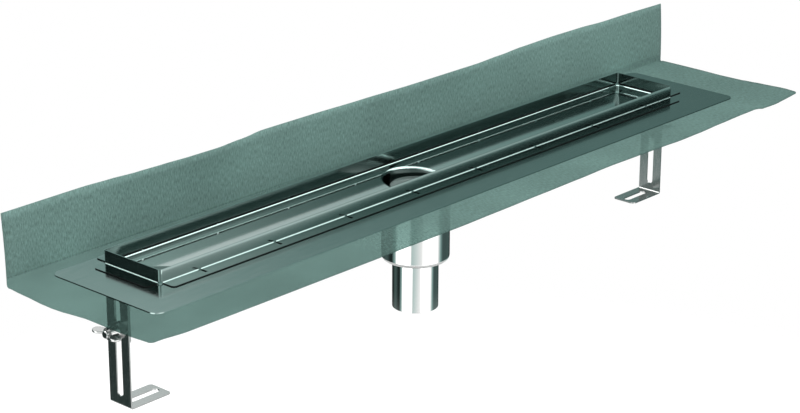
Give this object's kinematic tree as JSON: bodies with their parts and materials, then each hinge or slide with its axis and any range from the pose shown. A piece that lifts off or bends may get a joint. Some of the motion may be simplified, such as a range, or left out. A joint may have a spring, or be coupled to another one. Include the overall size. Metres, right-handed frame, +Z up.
{
  "type": "linear shower drain",
  "caption": "Linear shower channel with upstand rim, flange and bonded sealing fleece folded up a wall, bell-trap outlet with vertical spigot, and height-adjustable slotted legs.",
  "frame": {"origin": "on the outlet's axis, midway between the two feet, at the level of their undersides, where the slab is", "axes": "+X along the channel towards its seam end, +Y towards the wall behind the fleece's upturn, +Z up out of the drain"},
  "size_m": [1.013, 0.2, 0.224],
  "materials": {
    "channel_steel": "stainless sheet, fine satin, reflective",
    "upstand_steel": "stainless strip, fine satin, reflective",
    "outlet_steel": "stainless, drawn and polished",
    "leg_steel": "stainless sheet, cold-rolled mill finish",
    "fastener_steel": "stainless, bright",
    "sealing_fleece": "fleece-faced sealing sheet, matt, slightly translucent",
    "trap_plastic": "grey polypropylene, moulded, satin",
    "trap_rubber": "black rubber ring"
  },
  "bodies": {
    "channel": {"channel_body": "channel_steel", "upstand_frame": "upstand_steel", "outlet_socket": "outlet_steel", "outlet_spigot": "outlet_steel", "sealing_fleece": "sealing_fleece", "lug_left": "leg_steel", "lug_right": "leg_steel", "clamp_bolt_left": "fastener_steel", "clamp_bolt_right": "fastener_steel", "head_washer_left": "fastener_steel", "head_washer_right": "fastener_steel", "slot_washer_left": "fastener_steel", "slot_washer_right": "fastener_steel", "spring_washer_left": "fastener_steel", "spring_washer_right": "fastener_steel", "trap_standpipe": "trap_plastic", "trap_bell": "trap_plastic", "trap_seal_ring": "trap_rubber"},
    "leg_left": {"leg_left": "leg_steel"},
    "leg_right": {"leg_right": "leg_steel"},
    "wing_nut_left": {"wing_nut_left": "fastener_steel"},
    "wing_nut_right": {"wing_nut_right": "fastener_steel"}
  },
  "joints": [
    {"name": "leg_left_height", "type": "slide", "parent": "channel", "child": "leg_left", "axis": [0, 0, 1], "range_m": [-0.026, 0.01]},
    {"name": "leg_right_height", "type": "slide", "parent": "channel", "child": "leg_right", "axis": [0, 0, 1], "range_m": [-0.026, 0.01]},
    {"name": "wing_nut_left_turn", "type": "hinge", "parent": "channel", "child": "wing_nut_left", "pos_m": [-0.4278, 0, 0.0785], "axis": [-1, 0, 0], "continuous": true},
    {"name": "wing_nut_right_turn", "type": "hinge", "parent": "channel", "child": "wing_nut_right", "pos_m": [0.4278, 0, 0.0785], "axis": [1, 0, 0], "continuous": true}
  ]
}
